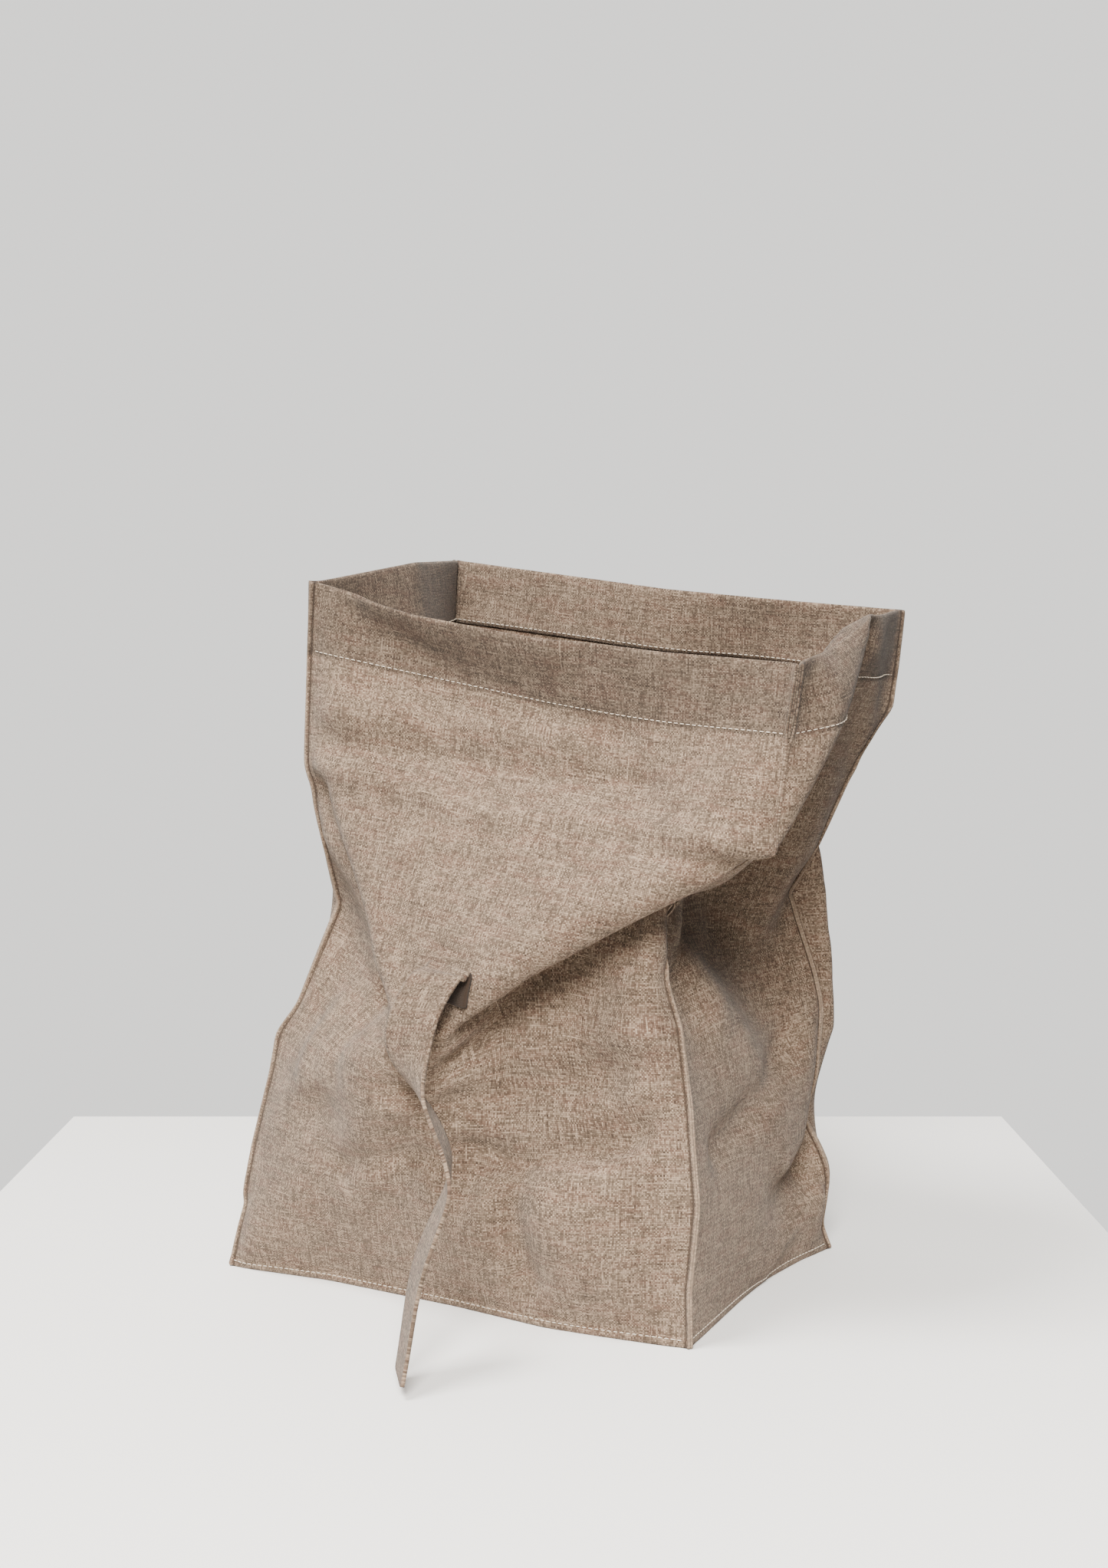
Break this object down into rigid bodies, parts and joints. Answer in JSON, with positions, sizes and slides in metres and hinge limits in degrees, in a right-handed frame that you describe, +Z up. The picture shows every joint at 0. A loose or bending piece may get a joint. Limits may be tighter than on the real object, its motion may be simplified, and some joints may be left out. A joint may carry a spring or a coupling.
{
  "type": "lunch bag",
  "caption": "Soft open-topped cloth bag with gusseted sides and a flat base, creased at the waist, with a flat strap sewn to its front.",
  "frame": {"origin": "centre of the base, on the plane that the bag stands on", "axes": "+X along the width, to the right as seen from the front; +Y from the front to the back; +Z up"},
  "size_m": [0.2455, 0.2429, 0.2813],
  "materials": {
    "linen": "matte natural linen, plain weave"
  },
  "bodies": {
    "root": {"front_panel": "linen", "back_panel": "linen", "right_gusset": "linen", "left_gusset": "linen", "base_panel": "linen", "strap": "linen"}
  },
  "joints": []
}
